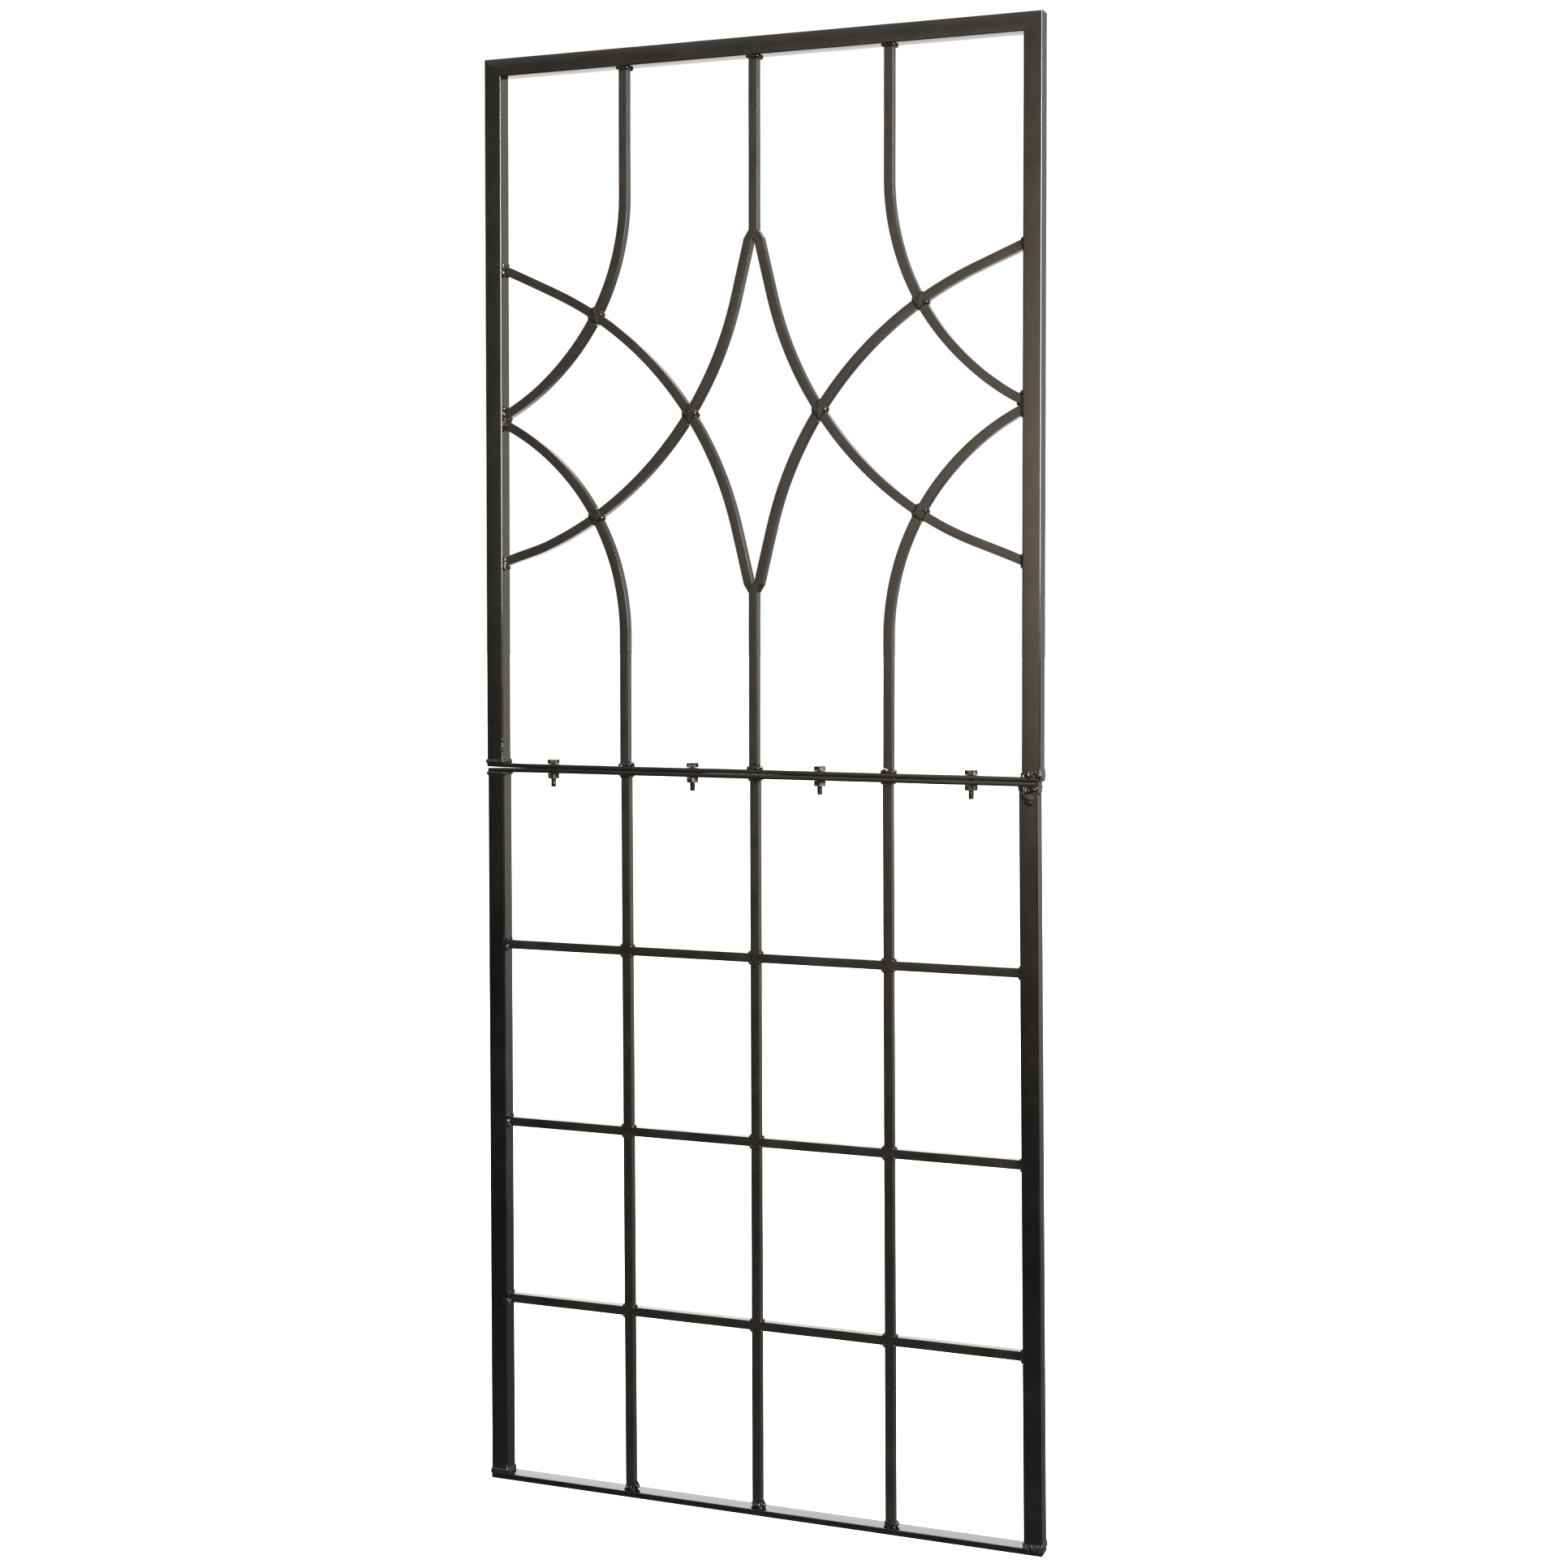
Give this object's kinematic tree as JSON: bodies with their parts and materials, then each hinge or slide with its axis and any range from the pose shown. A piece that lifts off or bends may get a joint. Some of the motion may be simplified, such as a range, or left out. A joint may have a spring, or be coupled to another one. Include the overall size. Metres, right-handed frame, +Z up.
{
  "type": "garden trellis panel",
  "caption": "Flat sectional steel trellis panel with a square tube frame, curved bars above, a square grid below and bolted meeting rails.",
  "frame": {"origin": "middle of the underside of the bottom rail", "axes": "+X runs across the panel to the right as seen from the front, +Y points from the front to the back, +Z is up"},
  "size_m": [0.6096, 0.019, 1.524],
  "materials": {
    "black_paint": "semi-gloss black-brown paint over welded steel",
    "zinc_plate": "zinc plate, dulled"
  },
  "bodies": {
    "root": {"upper_left_stile": "black_paint", "upper_right_stile": "black_paint", "top_rail": "black_paint", "upper_meeting_rail": "black_paint", "lower_meeting_rail": "black_paint", "bottom_rail": "black_paint", "left_rising_arc": "black_paint", "left_falling_arc_inner": "black_paint", "left_falling_arc_outer": "black_paint", "left_top_side_bar": "black_paint", "left_top_side_bar_tail": "black_paint", "left_low_side_bar": "black_paint", "left_low_side_bar_tail": "black_paint", "right_rising_arc": "black_paint", "right_falling_arc_inner": "black_paint", "right_falling_arc_outer": "black_paint", "right_top_side_bar": "black_paint", "right_top_side_bar_tail": "black_paint", "right_low_side_bar": "black_paint", "right_low_side_bar_tail": "black_paint", "top_centre_bar": "black_paint", "low_centre_bar": "black_paint", "lower_left_stile": "black_paint", "lower_right_stile": "black_paint", "left_upright": "black_paint", "centre_upright": "black_paint", "right_upright": "black_paint", "top_crossbar_1": "black_paint", "top_crossbar_2": "black_paint", "top_crossbar_3": "black_paint", "top_crossbar_4": "black_paint", "middle_crossbar_1": "black_paint", "middle_crossbar_2": "black_paint", "middle_crossbar_3": "black_paint", "middle_crossbar_4": "black_paint", "bottom_crossbar_1": "black_paint", "bottom_crossbar_2": "black_paint", "bottom_crossbar_3": "black_paint", "bottom_crossbar_4": "black_paint", "bolt_1": "zinc_plate", "nut_1": "zinc_plate", "bolt_2": "zinc_plate", "nut_2": "zinc_plate", "bolt_3": "zinc_plate", "nut_3": "zinc_plate", "bolt_4": "zinc_plate", "nut_4": "zinc_plate"}
  },
  "joints": []
}
